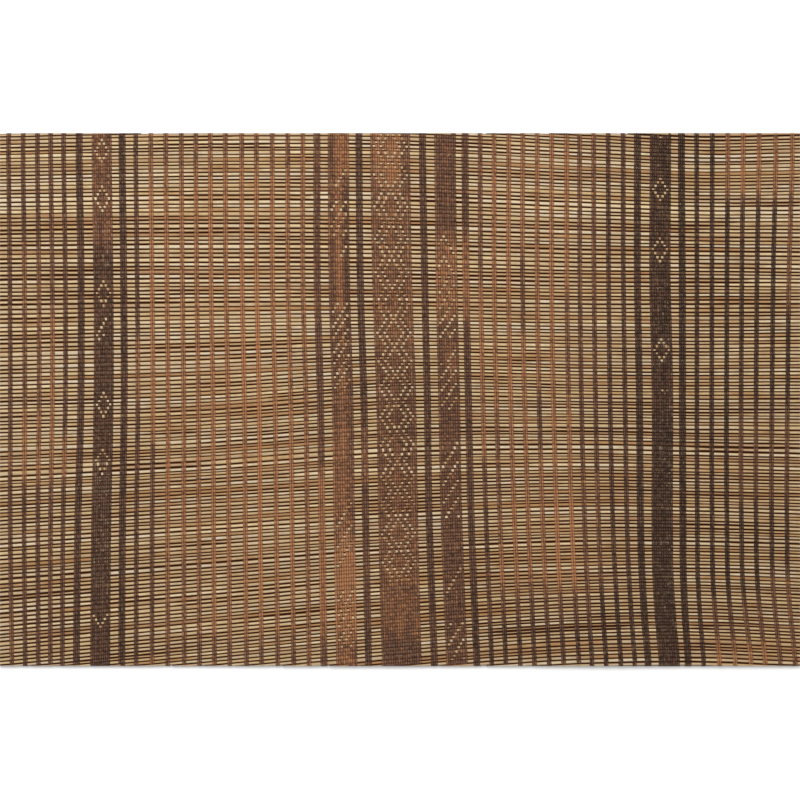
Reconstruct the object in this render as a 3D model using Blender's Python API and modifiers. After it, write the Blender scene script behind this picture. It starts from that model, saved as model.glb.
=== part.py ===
"""A cut length of a reed mat, lying flat.

Dry grass stems lie side by side along X, and pairs of leather thongs run along Y over and under
them. Two thong columns make a thin line, three a medium line, and nine or more a patterned band.
The reeds are one ribbed sheet, a rib for each reed, and each leather line is one flat loop that
closes round the first and the last reed. The origin is under the middle, on the ground, Z up.
"""
import bmesh
import bpy
import numpy as np

MM = 0.001

# The cut length: along the reeds, and along the thongs.
LENGTH = 800 * MM
WIDTH = 533 * MM

# Thickness, from the ground up: leather, reed, leather, with a fine gap between them.
THONG_THICKNESS = 0.9 * MM
CLEARANCE = 0.3 * MM
REED_HEIGHT = 2.8 * MM
WEB_HEIGHT = 1.1 * MM
HEIGHT = 2 * THONG_THICKNESS + 2 * CLEARANCE + REED_HEIGHT
MIDDLE = HEIGHT / 2

# Leather columns side by side in a line.
COLUMN_PITCH = 2.15 * MM
COLUMN_WIDTH = 2.1 * MM

# Reeds, counted down the left edge. They crowd together towards the right edge.
REED_PITCH = 3.98 * MM
FIRST_REED = 280 * MM
REEDS = 151
CROWN_SHARE = 0.44  # of the pitch, flat on top of each rib
CUT_MARGIN = 0.5 * MM  # that the uncut reeds pass the mat's two ends

# Each row: name, thong columns in a line, colour, and the lines' centres at the top edge in mm.
LINES = (
    ("edge_thin", 2, "dark", (-391, -376.5, -362.2, -349, -336)),
    ("left_medium", 3, "dark", (-320.5,)),
    ("left_band", 9, "dark", (-298,)),
    ("inner_medium", 3, "dark", (-277.6,)),
    (
        "left_thin",
        2,
        "rust",
        (-264, -249, -234, -218.5, -204, -189.5, -174.5, -158.2, -143.5, -127.6, -112.1, -97),
    ),
    ("pattern_medium_1", 3, "dark", (-83,)),
    ("rust_band", 9, "rust", (-61.5,)),
    ("pattern_medium_2", 3, "dark", (-41,)),
    ("lattice_band", 17, "rust", (-9.8,)),
    ("pattern_medium_3", 3, "dark", (22.4,)),
    ("zigzag_band", 9, "dark", (45,)),
    ("pattern_medium_4", 3, "dark", (65,)),
    (
        "right_thin",
        2,
        "rust",
        (80, 94, 108.7, 122.7, 137.2, 151.5, 166.6, 179.5, 193.5, 208, 223),
    ),
    ("right_medium", 3, "dark", (237.3,)),
    ("right_band", 9, "dark", (260.2,)),
    ("far_medium", 3, "dark", (281.2,)),
    ("far_thin", 2, "dark", (296.4, 312, 327.6, 343, 358.8, 375.6, 392)),
)

# How far a line wanders sideways on its way down the mat, in mm, at five heights.
SWAY_HEIGHTS = (240, 120, 0, -120, -240)
SWAY = (
    # line, then the five heights
    (-391, 0.0, 1.2, 1.7, 1.6, 3.1),
    (-320, 0.0, 1.9, 1.7, -1.1, -2.7),
    (-204, 0.0, 0.9, 2.6, 3.1, 3.7),
    (-97, 0.0, 0.0, 3.0, 4.4, 6.0),
    (-10, 0.0, 2.0, 6.0, 8.0, 11.0),
    (22, 0.0, 2.2, 4.9, 6.7, 11.3),
    (109, 0.0, -0.3, 1.8, 5.7, 10.5),
    (208, 0.0, 0.4, 1.8, 4.6, 10.0),
    (260, 0.0, -0.5, 2.0, 2.5, 7.0),
    (281, 0.0, 0.7, 0.9, 1.8, 4.7),
    (392, 0.0, -3.5, -4.9, -4.1, 1.5),
)

# How far a reed climbs on its way to the right, in mm, at five places along the mat.
CLIMB_PLACES = (-400, -200, 0, 200, 400)
CLIMB = (
    # height at the left edge, then the five places
    (236, 0.0, 3.9, 4.0, -4.1, -8.6),
    (166, 0.0, 2.2, 1.9, -3.0, -6.1),
    (131, 0.0, 1.6, 1.1, -2.1, -3.7),
    (96, 0.0, 2.9, 3.8, 1.9, 1.4),
    (61, 0.0, 4.2, 7.5, 6.0, 5.1),
    (26, 0.0, 5.5, 13.4, 11.5, 11.4),
    (-8, 0.0, 6.0, 18.5, 16.9, 16.9),
    (-43, 0.0, 7.6, 20.9, 22.0, 20.5),
    (-78, 0.0, 11.2, 24.4, 26.8, 24.2),
    (-113, 0.0, 13.4, 25.1, 29.5, 26.6),
    (-148, 0.0, 14.5, 27.2, 34.5, 31.5),
    (-183, 0.0, 16.4, 31.5, 39.0, 37.3),
    (-218, 0.0, 18.2, 36.0, 44.2, 44.4),
    (-316, 0.0, 20.0, 40.0, 50.0, 50.0),
)


def clear_scene():
    for thing in list(bpy.data.objects):
        bpy.data.objects.remove(thing, do_unlink=True)


def table_value(table, columns, row_key, column_key):
    """Straight-line value of a table whose first column is the key of its rows."""
    rows = sorted(table)
    keys = [row[0] for row in rows]
    order = np.argsort(columns)
    places = np.array(columns)[order]
    at_rows = [np.interp(column_key, places, np.array(row[1:])[order]) for row in rows]
    return float(np.interp(row_key, keys, at_rows))


def sway(line, height):
    """Sideways wander in metres of the line at x = line, at this height on the mat."""
    return table_value(SWAY, SWAY_HEIGHTS, line / MM, height / MM) * MM


def climb(start, place):
    """Rise in metres of the reed that begins at y = start, at this place along the mat."""
    return table_value(CLIMB, CLIMB_PLACES, start / MM, place / MM) * MM


def material(name, colour, roughness):
    """A plain finish for one kind of piece."""
    made = bpy.data.materials.new(name)
    made.use_nodes = True
    shader = made.node_tree.nodes["Principled BSDF"]
    shader.inputs["Base Color"].default_value = (*colour, 1.0)
    shader.inputs["Roughness"].default_value = roughness
    shader.inputs["Metallic"].default_value = 0.0
    return made


def new_object(name, mesh, collection, finish):
    made = bpy.data.objects.new(name, mesh)
    collection.objects.link(made)
    mesh.materials.append(finish)
    return made


def rib_rows():
    """For each row of points along the reeds: its height at the left edge, and half the thickness.

    A rib has two crown rows, and one web row lies between two ribs."""
    rows = [(FIRST_REED + REED_PITCH / 2, WEB_HEIGHT / 2)]
    crown = REED_PITCH * CROWN_SHARE / 2
    for number in range(REEDS):
        centre = FIRST_REED - number * REED_PITCH
        rows.append((centre + crown, REED_HEIGHT / 2))
        rows.append((centre - crown, REED_HEIGHT / 2))
        rows.append((centre - REED_PITCH / 2, WEB_HEIGHT / 2))
    return rows


def add_reeds(collection, cutters, finish):
    """The reeds as one ribbed sheet, the same above and below, cut square at the mat's edges."""
    rows = rib_rows()
    uncut = 1 + 2 * CUT_MARGIN / LENGTH
    stations = [place * MM * uncut for place in CLIMB_PLACES]
    columns = len(stations)
    net = bmesh.new()
    bmesh.ops.create_grid(net, x_segments=columns - 1, y_segments=len(rows) - 1, size=0.5)
    net.verts.ensure_lookup_table()
    by_place = sorted(net.verts, key=lambda v: (-round(v.co.y, 6), round(v.co.x, 6)))
    for number, point in enumerate(by_place):
        start, half = rows[number // columns]
        place = stations[number % columns]
        point.co = (place, start + climb(start, place), MIDDLE + half)
    rim = [edge for edge in net.edges if edge.is_boundary]
    skirt = bmesh.ops.extrude_edge_only(net, edges=rim)
    for part in skirt["geom"]:
        if isinstance(part, bmesh.types.BMVert):
            part.co.z = MIDDLE
    bmesh.ops.recalc_face_normals(net, faces=net.faces)
    mesh = bpy.data.meshes.new("reeds")
    net.to_mesh(mesh)
    net.free()
    reeds = new_object("reeds", mesh, collection, finish)

    plane = bpy.data.objects.new("reed_mirror_plane", None)
    plane.location = (0, 0, MIDDLE)
    collection.objects.link(plane)
    mirror = reeds.modifiers.new("underside", "MIRROR")
    mirror.use_axis = (False, False, True)
    mirror.mirror_object = plane
    mirror.use_mirror_merge = True
    mirror.merge_threshold = 0.00001

    bpy.ops.mesh.primitive_cube_add(size=1, location=(0, 0, MIDDLE))
    frame = bpy.context.object
    frame.name = "mat_outline"
    frame.scale = (LENGTH, WIDTH - 2 * THONG_THICKNESS - 2 * CLEARANCE, 4 * HEIGHT)
    frame.hide_render = True
    frame.display_type = "WIRE"
    for owner in list(frame.users_collection):
        owner.objects.unlink(frame)
    cutters.objects.link(frame)
    cut = reeds.modifiers.new("cut to size", "BOOLEAN")
    cut.operation = "INTERSECT"
    cut.solver = "EXACT"
    cut.object = frame
    return reeds


def add_line(name, centre, columns, collection, finish):
    """One leather line: a flat loop over the reeds, round the last one and back beneath them."""
    width = (columns - 1) * COLUMN_PITCH + COLUMN_WIDTH
    stations = [WIDTH / 2, *(height * MM for height in SWAY_HEIGHTS), -WIDTH / 2]
    top = [(y, HEIGHT) for y in stations]
    bottom = [(y, 0.0) for y in reversed(stations)]
    net = bmesh.new()
    ring = []
    for y, z in top + bottom:
        x = centre + sway(centre, y) - width / 2
        ring.append(net.verts.new((x, y, z)))
    for near, far in zip(ring, ring[1:] + ring[:1]):
        net.edges.new((near, far))
    band = bmesh.ops.extrude_edge_only(net, edges=net.edges)
    moved = [part for part in band["geom"] if isinstance(part, bmesh.types.BMVert)]
    bmesh.ops.translate(net, verts=moved, vec=(width, 0, 0))
    bmesh.ops.recalc_face_normals(net, faces=net.faces)
    mesh = bpy.data.meshes.new(name)
    net.to_mesh(mesh)
    net.free()
    line = new_object(name, mesh, collection, finish)
    shell = line.modifiers.new("leather", "SOLIDIFY")
    shell.thickness = THONG_THICKNESS
    shell.offset = -1
    shell.use_even_offset = True
    return line


def main():
    clear_scene()
    mat = bpy.data.collections.new("reed_mat")
    cutters = bpy.data.collections.new("cutters")
    bpy.context.scene.collection.children.link(mat)
    bpy.context.scene.collection.children.link(cutters)
    straw = material("reed_straw", (0.62, 0.47, 0.27), 0.55)
    leathers = {
        "dark": material("leather_dark", (0.075, 0.045, 0.032), 0.6),
        "rust": material("leather_rust", (0.22, 0.095, 0.045), 0.6),
    }
    add_reeds(mat, cutters, straw)
    for name, columns, colour, centres in LINES:
        for number, centre in enumerate(centres, start=1):
            own_name = f"{name}_{number:02d}" if len(centres) > 1 else name
            add_line(own_name, centre * MM, columns, mat, leathers[colour])


main()
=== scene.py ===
"""A cut length of a reed and leather mat, dressed for a studio picture.

Dry reeds of uneven thickness and colour lie side by side along X, with open ends whose hollows have
painted shade. Pairs of leather strips run along Y. In each column one strip passes over the even
reeds and its partner over the odd ones, and they cross in the gaps between. Two columns make a thin
line, three a medium line and nine or more a band, where a reed shows as a pale dot wherever both its
strips pass under it.
The places of reeds and lines are those of the solids in the frame, X along the reeds, Z up.
"""

import math

import bpy
import numpy as np
from bpy.props import FloatProperty, FloatVectorProperty, IntProperty, PointerProperty
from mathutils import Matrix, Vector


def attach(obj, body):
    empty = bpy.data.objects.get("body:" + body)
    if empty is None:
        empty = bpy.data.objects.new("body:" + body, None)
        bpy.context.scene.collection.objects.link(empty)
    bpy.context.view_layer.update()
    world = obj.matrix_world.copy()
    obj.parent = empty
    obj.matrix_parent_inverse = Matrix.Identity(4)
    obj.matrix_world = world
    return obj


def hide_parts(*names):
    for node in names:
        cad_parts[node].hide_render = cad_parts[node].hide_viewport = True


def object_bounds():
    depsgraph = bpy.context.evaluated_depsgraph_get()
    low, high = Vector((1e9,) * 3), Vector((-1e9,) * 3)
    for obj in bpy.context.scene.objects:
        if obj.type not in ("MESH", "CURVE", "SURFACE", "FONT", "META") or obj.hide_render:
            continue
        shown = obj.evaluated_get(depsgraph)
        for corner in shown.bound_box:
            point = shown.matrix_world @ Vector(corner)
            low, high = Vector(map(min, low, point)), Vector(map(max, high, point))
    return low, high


bl_info = {
    "name": "Reed and leather mat",
    "version": (1, 0, 0),
    "blender": (4, 5, 0),
    "location": "3D View > Sidebar > Reed Mat",
    "description": "Builds a woven reed and leather mat round its fixed solids, with a studio for it",
    "category": "Object",
}

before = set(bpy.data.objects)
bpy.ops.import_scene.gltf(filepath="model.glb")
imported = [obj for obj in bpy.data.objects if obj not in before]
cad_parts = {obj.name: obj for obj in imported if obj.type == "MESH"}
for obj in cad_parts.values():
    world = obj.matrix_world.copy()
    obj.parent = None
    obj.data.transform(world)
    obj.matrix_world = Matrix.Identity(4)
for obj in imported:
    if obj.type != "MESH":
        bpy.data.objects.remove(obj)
SOLID_BOX = [list(corner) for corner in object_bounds()]

MM = 0.001
LENGTH = SOLID_BOX[1][0] - SOLID_BOX[0][0]
WIDTH = SOLID_BOX[1][1] - SOLID_BOX[0][1]
HEIGHT = SOLID_BOX[1][2] - SOLID_BOX[0][2]
MIDDLE = HEIGHT / 2

# Where the large soft light stands, in metres from the mat's middle on the floor.
KEY_PLACE = (-0.25, 0.95, 1.65)

# How far the leather and the reeds stay inside the mat's two long edges. A reed ends where less than
# REED_INSIDE of its reach lies inside, and REED_OVERHANG is left of what it reaches past that.
LEATHER_MARGIN = 0.15 * MM
REED_MARGIN = 0.5 * MM
REED_INSIDE = 0.25
REED_OVERHANG = 0.02

# How far apart neighbours lie in the grain, so that no two have the same fibres.
GRAIN_STEP = 10 * MM

# Edges turn sharp from these angles: on the leather, and at the reeds' cut ends.
LEATHER_SHARP = math.radians(100)
REED_SHARP = math.radians(50)

# A strip beside a reed's crest, on its shoulder: how far out that is as a share of the reed's reach,
# and the strip's width, crest and step to the side there, as shares of the full ones. The crest is
# 1 on top of a reed and 0 under it, and polish, wear, the painted highlight on top and the painted
# shade low down follow it.
SHOULDER = 0.80
SHOULDER_DROP = math.sqrt(1 - SHOULDER**2)
SHOULDER_WIDTH = 0.96
SHOULDER_CREST = 0.62
SHOULDER_STEP = 0.35

# A strip between and under the reeds: heights in shares of half a reed, and at the mat's edge in
# thicknesses of the strip. The width under a reed is against that in a gap. A running strip stays
# on its side of the reeds in a gap instead of crossing its partner.
GAP_HEIGHT = 0.48
GAP_CREST = 0.60
UNDER_HEIGHT = -0.8
UNDER_WIDTH = 1.25
UNDER_STEP = 0.8
RUNNING_STEP = 0.6
EDGE_HEIGHT = -0.35
EDGE_CREST = 0.2
SECTION_SWELL = 0.05 * MM

# How far from its ends a strip's sections on the reeds stay, and the centres of its reeds.
EDGE_ROOM = 0.2 * MM
REED_ROOM = 0.7 * MM

# Reeds, counted down the left edge.
REED_PITCH = 3.98 * MM
FIRST_REED = 280 * MM
REEDS = 156
REEDS_IN_BUNCH = 5  # neighbours that fill the same width together

# Thickness by chance against the usual one: the least, the most, the share of swollen reeds, and
# by how much they are thicker.
THINNEST = 0.72
THICKEST = 1.34
SWOLLEN_REEDS = 0.07
SWOLLEN_BY = 1.18

# How much of its extra thickness shows in a reed's height, and how far its height varies besides.
HEIGHT_BY_THICKNESS = 0.35
HEIGHT_SPREAD = 0.015

# A reed's own two bends and its ripple: lengths in mm, and the strength of each as a share of the
# wobble.
BEND_LENGTHS = (55, 150)
RIPPLE_LENGTHS = (32, 60)
WAVE_SHARES = (0.6, 0.4, 0.35)

# An open end of a reed, from the floor of its hollow out to the cut: how deep each section lies as a
# share of the hollow, its size, and how much painted shade it has.
OPEN_END = ((1.0, 0.62, 1.0), (0.0, 0.66, 0.6), (0.0, 1.0, 0.0))

# How thick the reeds are down the left edge: height in mm, and share of the usual thickness. Reeds
# below the left corner, at -266, come in from the bottom edge.
THICKNESS = (
    (266, 0.89),
    (215, 0.89),
    (190, 1.00),
    (120, 1.03),
    (95, 1.12),
    (60, 1.08),
    (0, 0.98),
    (-30, 0.97),
    (-70, 1.04),
    (-97, 0.88),
    (-120, 0.93),
    (-170, 1.00),
    (-215, 1.10),
    (-240, 1.02),
    (-262, 0.90),
    (-290, 0.88),
    (-316, 1.02),
)

# Each row: name, thong columns in a line, mm from one column to the next, tone of the leather from
# 0 for black-brown through 0.4 for brown to 1 for rust, leather slot, and the lines' centres at the
# top edge in mm.
LINES = (
    ("edge_thin", 2, 2.28, 0.39, "leather_dark", (-391, -376.5, -362.2, -349, -336)),
    ("left_medium", 3, 2.28, 0.25, "leather_dark", (-320.5,)),
    ("left_band", 9, 2.2, 0.29, "leather_dark", (-298,)),
    ("inner_medium", 3, 2.28, 0.24, "leather_dark", (-277.6,)),
    (
        "left_thin",
        2,
        2.28,
        0.78,
        "leather_rust",
        (-264, -249, -234, -218.5, -204, -189.5, -174.5, -158.2, -143.5, -127.6, -112.1, -97),
    ),
    ("pattern_medium_1", 3, 2.28, 0.42, "leather_dark", (-83,)),
    ("rust_band", 9, 2.35, 0.70, "leather_rust", (-61.5,)),
    ("pattern_medium_2", 3, 2.28, 0.27, "leather_dark", (-41,)),
    ("lattice_band", 17, 2.33, 0.58, "leather_rust", (-9.8,)),
    ("pattern_medium_3", 3, 2.28, 0.32, "leather_dark", (22.4,)),
    ("zigzag_band", 9, 2.38, 0.47, "leather_dark", (45,)),
    ("pattern_medium_4", 3, 2.28, 0.37, "leather_dark", (65,)),
    (
        "right_thin",
        2,
        2.28,
        0.78,
        "leather_rust",
        (80, 94, 108.7, 122.7, 137.2, 151.5, 166.6, 179.5, 193.5, 208, 223),
    ),
    ("right_medium", 3, 2.28, 0.15, "leather_dark", (237.3,)),
    ("right_band", 9, 2.36, 0.14, "leather_dark", (260.2,)),
    ("far_medium", 3, 2.28, 0.06, "leather_dark", (281.2,)),
    ("far_thin", 2, 2.28, 0.12, "leather_dark", (296.4, 312, 327.6, 343, 358.8, 375.6, 392)),
)

# How far a line wanders sideways on its way down the mat, in mm, at six heights.
SWAY_HEIGHTS = (240, 120, 0, -120, -180, -260)
SWAY = (
    # line, then the six heights
    (-391, 0, 1.2, 1.7, 1.6, 2.2, 3.3),
    (-320, 0, 1.9, 1.7, -1.1, -2, -2.8),
    (-204, 0, 0.9, 2.6, 3.1, 3.4, 3.8),
    (-97, 0, 0, 3, 4.4, 5.2, 6.2),
    (-10, 0, 2, 6, 8, 9.3, 11.5),
    (22, 0, 2.2, 4.9, 6.7, 8.8, 12),
    (109, 0, -0.3, 1.8, 5.7, 8, 11.5),
    (208, 0, 0.4, 1.8, 4.6, 7, 12.5),
    (260, 0, -0.5, 2, 1.8, 2.5, 8.6),
    (281, 0, 0.7, 0.9, 1.5, 1.8, 6.5),
    (343, 0, -1.6, -2.3, -2, -1, 7.6),
    (392, 0, -3.5, -4.9, -5.5, -4.6, 2.7),
)

# How far a reed climbs on its way to the right, in mm, at six places along the mat.
CLIMB_PLACES = (-400, -200, 0, 200, 300, 400)
CLIMB = (
    # height at the left edge, then the six places
    (236, 0, 4, 3.5, -5.5, -10, -8.5),
    (166, 0, 2, 1, -4.5, -6.5, -7),
    (131, 0, 1, 0.5, -3.5, -4, -5),
    (96, 0, 2.5, 3, 0.5, 0.5, 1),
    (61, 0, 5, 8.5, 6, 5.5, 6.5),
    (26, 0, 6, 14.5, 12, 11.5, 12.5),
    (-8, 0, 6.5, 20, 17.5, 17, 17.5),
    (-43, 0, 8, 22, 23, 21.5, 21),
    (-78, 0, 11, 25, 27.5, 25.5, 23.5),
    (-113, 0, 13, 25, 30, 28, 26),
    (-148, 0, 14, 27, 34.5, 33.5, 30.5),
    (-183, 0, 16, 31, 39, 38.5, 36),
    (-218, 0, 18.5, 36.5, 45.5, 46.5, 43.5),
    (-250, 0, 19.5, 38.5, 51, 52, 48.5),
    (-316, 0, 20, 40, 55, 56, 52),
)

# Soft swellings of the mat off the floor: centre x, y, half widths across x and y, and rise, in mm,
# and how fast they all fall off.
SWELLING_FALL = 1.4
SWELLINGS = (
    (40, -190, 150, 34, 2.0),
    (215, -192, 90, 26, 2.4),
    (230, -258, 110, 22, 1.8),
    (-40, -262, 90, 20, 1.0),
    (-250, -120, 170, 60, 0.9),
    (300, 60, 120, 90, 1.1),
    (-80, 120, 200, 70, 0.8),
    (-330, 200, 110, 60, 0.7),
    (330, -170, 60, 70, 1.4),
)

# Spread of the leather's tone from strip to strip and from section to section, its waves along a
# strip as length in mm and strength, and how the edges of a dyed patch fade.
STRIP_TONE_SPREAD = 0.05
SECTION_TONE_SPREAD = 0.11
TONE_WAVES = ((150, 0.05), (47, 0.04), (17, 0.03))
DYE_FADE_ACROSS = 4 * MM
DYE_FADE_DOWN = 22 * MM

# Where the leather was dyed or has faded: from x, to x, from y, to y in mm, and the tone it has
# there. A later patch covers an earlier one.
DYE_PATCHES = (
    (-400, -384, -75, -40, 0.60),
    (-400, -384, -270, -190, 0.55),
    (-380, -355, -85, -5, 0.74),
    (-380, -355, -5, 150, 0.58),
    (-360, -345, -80, 90, 0.66),
    (-345, -330, -80, -40, 0.74),
    (-310, -286, 152, 270, 0.57),
    (-272, -257, -270, 270, 0.36),
    (-270, -258, -5, 60, 0.68),
    (-255, -244, 220, 270, 0.55),
    (-255, -244, -260, -40, 0.40),
    (-240, -190, -265, -150, 0.66),
    (-245, -90, 230, 270, 0.58),
    (-245, -90, -270, -240, 0.50),
    (-170, -150, 190, 235, 0.76),
    (-105, -90, -270, 270, 0.70),
    (-90, -76, -240, -70, 0.78),
    (-76, -65, -140, 270, 0.58),
    (-57, -48, -120, 220, 0.36),
    (-64, -52, -110, 10, 0.56),
    (-78, -60, 25, 80, 0.50),
    (-78, -58, -150, -25, 0.70),
    (-53.5, -48, -270, -120, 0.40),
    (-75, -48, -235, -145, 0.92),
    (-48, -34, -90, -30, 0.56),
    (-48, -34, -235, -90, 0.42),
    (-26, 2, 215, 270, 0.78),
    (2, 10, 200, 270, 0.46),
    (-32, 14, -120, 50, 0.52),
    (-8, 8, -60, 20, 0.42),
    (-24, -4, -225, -150, 0.62),
    (-32, 20, -270, -236, 0.42),
    (34, 72, 80, 165, 0.72),
    (40, 54, 20, 60, 0.60),
    (42, 58, -175, -110, 0.46),
    (72, 88, 120, 270, 0.56),
    (72, 86, 20, 110, 0.80),
    (72, 88, -270, -60, 0.40),
    (88, 102, 225, 270, 0.72),
    (88, 102, -150, -10, 0.58),
    (116, 130, 70, 145, 0.46),
    (132, 142, -50, 10, 0.42),
    (150, 172, -190, -95, 1.00),
    (160, 173, -5, 110, 0.56),
    (173, 200, 110, 270, 0.54),
    (173, 200, -80, 110, 0.43),
    (173, 200, -200, -80, 0.54),
    (200, 230, -270, 270, 0.25),
    (86, 200, -230, -190, 0.50),
    (70, 232, -270, -220, 0.28),
    (318, 400, 200, 270, 0.76),
    (335, 400, -100, -10, 0.42),
    (386, 400, 90, 200, 0.56),
    (300, 372, -270, -200, 0.46),
    (300, 372, -270, -246, 0.92),
    (366, 400, -270, -170, 0.56),
    (-170, -150, -10, 130, 0.88),
    (-150, -136, -210, 130, 1.00),
    (-120, -105, -200, -20, 0.90),
    (246, 276, -240, -20, 0.08),
    (230, 246, -240, 0, 0.10),
    (58, 72, -270, -180, 0.24),
    (186, 232, -270, -190, 0.14),
)

# How worn the leather's sections are: at most by chance, the bare ones from and to, and the share
# of it at a strip's edges.
HARDLY_WORN = 0.34
BARE = (0.5, 1.0)
WEAR_AT_EDGES = 0.3

# Where the leather is rubbed bare in specks: from x, to x, from y, to y in mm, and the share of the
# strips' sections that are bare.
WORN_PATCHES = (
    (-306, -291, -195, -60, 0.14),
    (-300, -292, 120, 170, 0.12),
    (256, 270, -110, 120, 0.08),
    (258, 272, -235, -130, 0.04),
    (-76, -46, -200, -120, 0.15),
    (318, 356, -270, -240, 0.25),
    (210, 236, -270, -225, 0.16),
    (-30, 10, 130, 270, 0.14),
    (36, 54, 90, 160, 0.14),
)

# A reed's tone: what its own chance, how thin it is and specks add, the darkest that all of this
# makes it, and how strong its weathered stretches are and how often.
TONE_BY_CHANCE = 0.44
TONE_BY_THINNESS = 0.5
TONE_SPECKS = 0.12
DARKEST_BY_CHANCE = 0.84
STRETCH_TONES = (0.10, 0.18, 0.27, 0.38)
STRETCH_CHANCES = (0.40, 0.32, 0.19, 0.09)

# How far the painted shade in the grooves beside a reed reaches: by the reed and by stretches, the
# least and the most, and what the darkening towards the lower right adds.
GROOVE_SPREAD = 0.16
GROOVE_STRETCHES = (-0.36, 0.80)
GROOVE_LIMITS = (-0.18, 1.0)
GROOVE_SHADE_TO_LOWER_RIGHT = 0.6

# Over what length a weathered or noted stretch fades in, and a stretch of painted groove shade.
STRETCH_FADE = 14 * MM
GROOVE_FADE = 16 * MM

# Columns of the next table for a reed's tone and for the painted shade in its grooves.
NOTED_TONE = 3
NOTED_GROOVE = 4

# Reeds that stand out: height at the left edge, from x, to x in mm, tone, from 0 for bleached cream
# through 0.45 for straw gold to 1 for russet, and how far the painted shade in the grooves beside the
# reed reaches.
NOTED_STRETCHES = (
    (262, -400, 400, 0.58, 0.1),
    (233, -400, -315, 0.60, 0.4),
    (230, 70, 400, 0.66, 0.3),
    (209, -140, -75, 0.52, 0.2),
    (204, 335, 400, 0.62, 0.9),
    (181, 270, 330, 0.66, 0.5),
    (168, -212, -125, 0.64, 0.9),
    (160, -130, -72, 0.60, 0.7),
    (137, 296, 362, 0.68, 0.2),
    (122, -400, -318, 0.60, 0.8),
    (121, 283, 342, 0.70, 0.7),
    (96, 312, 372, 0.74, 0.6),
    (58, 268, 400, 0.70, 0.4),
    (37, -172, -110, 0.60, 0.6),
    (20, 75, 130, 0.66, 0.3),
    (7, 108, 192, 0.72, 0.0),
    (2, 55, 108, 0.60, 0.9),
    (-9, -125, -60, 0.58, 0.8),
    (-23, 200, 262, 0.66, 0.8),
    (-35, 265, 340, 0.60, 0.7),
    (-38, -245, -205, 0.60, 0.9),
    (-50, -200, -105, 0.00, 0.1),
    (-72, 320, 400, 0.64, 0.6),
    (-75, -300, -195, 0.66, 0.5),
    (-82, 190, 244, 0.68, 0.4),
    (146, -215, -60, 0.50, 0.1),
    (142, -230, -90, 0.54, 0.2),
    (50, -260, -40, 0.62, 0.5),
    (46, -255, -110, 0.58, 0.4),
    (-26, 150, 330, 0.56, 0.3),
    (-62, -330, -180, 0.60, 0.5),
    (-66, -300, -250, 0.64, 0.4),
    (-122, -120, 140, 0.56, 0.3),
    (-150, 20, 250, 0.58, 0.3),
    (-214, -10, 90, 0.62, 0.4),
    (-222, 60, 200, 0.66, 0.5),
    (-228, 90, 260, 0.58, 0.4),
    (-112, 200, 262, 0.58, 0.5),
    (-138, 190, 256, 0.60, 0.4),
    (-232, 30, 150, 0.60, 0.5),
    (-247, 92, 230, 0.58, 0.5),
    (-257, 130, 210, 0.64, 0.4),
    (-266, 180, 262, 0.58, 0.9),
    (-270, 20, 130, 0.62, 1.0),
    (-276, 96, 250, 0.74, 1.4),
    (-280, 98, 222, 0.70, 1.4),
    (-286, 108, 152, 0.74, 0.4),
    (-294, 140, 240, 0.56, 0.6),
    (-280, 296, 314, 0.45, 1.4),
    (-299, 300, 317, 0.45, 1.4),
    (199, -225, -95, 0.62, 0.6),
    (176, 300, 400, 0.20, 0.0),
    (158, 290, 400, 0.20, 0.0),
    (100, -280, -110, 0.20, 0.0),
    (80, -400, -335, 0.60, 0.6),
    (72, 70, 130, 0.60, 0.5),
    (-70, -400, -335, 0.58, 0.4),
    (-90, 196, 240, 0.60, 0.4),
    (-92, -280, -110, 0.60, 0.6),
    (-95, 70, 130, 0.62, 0.5),
    (-96, -400, -335, 0.58, 0.4),
    (-151, -400, -335, 0.60, 0.5),
    (-158, 195, 240, 0.60, 0.5),
    (-219, 200, 240, 0.62, 0.7),
)


def plain_number(name, description, default, **limits):
    """A setting that is a plain number."""
    return FloatProperty(name=name, description=description, default=default, **limits)


def metres(name, description, default):
    """A setting that is a length."""
    return plain_number(name, description, default, unit="LENGTH")


def tint(name, description, *default):
    """A setting that is a colour: linear red, green and blue."""
    return FloatVectorProperty(
        name=name, description=description, default=default, subtype="COLOR"
    )


class ReedSettings(bpy.types.PropertyGroup):
    """The dry stems."""

    sides: IntProperty(name="Sides", description="Flats round a stem", default=12, min=6)
    stations: IntProperty(
        name="Stations", description="Sections along a full stem", default=52, min=8
    )
    share: plain_number("Share", "Part of its pitch that a stem fills", 0.994, min=0.5, max=1)
    height: metres("Height", "Stem, top to bottom", 2.8 * MM)
    unevenness: plain_number("Unevenness", "Spread of the stems' thickness", 0.15, min=0)
    wobble: metres("Wobble", "How far a stem bends out of line", 0.20 * MM)
    hollow: metres("Hollow", "Depth of the open end of a stem", 2.5 * MM)
    cream: tint("Cream", "Bleached stems", 0.579, 0.482, 0.317)
    straw: tint("Straw", "Ordinary stems", 0.447, 0.339, 0.192)
    russet: tint("Russet", "Weathered stems", 0.322, 0.170, 0.072)
    # Painted shade, warm, on the stems' sides.
    flank_shade: tint("Flank shade", "Painted shade on the stems' sides", 0.298, 0.146, 0.057)
    # Painted shade between the stems and in the hollows of their open ends.
    groove: tint("Groove shade", "Painted shade between stems and in hollows", 0.036, 0.0095, 0.0028)
    seed: IntProperty(name="Seed", description="Seed of the stems' unevenness", default=11)


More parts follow.
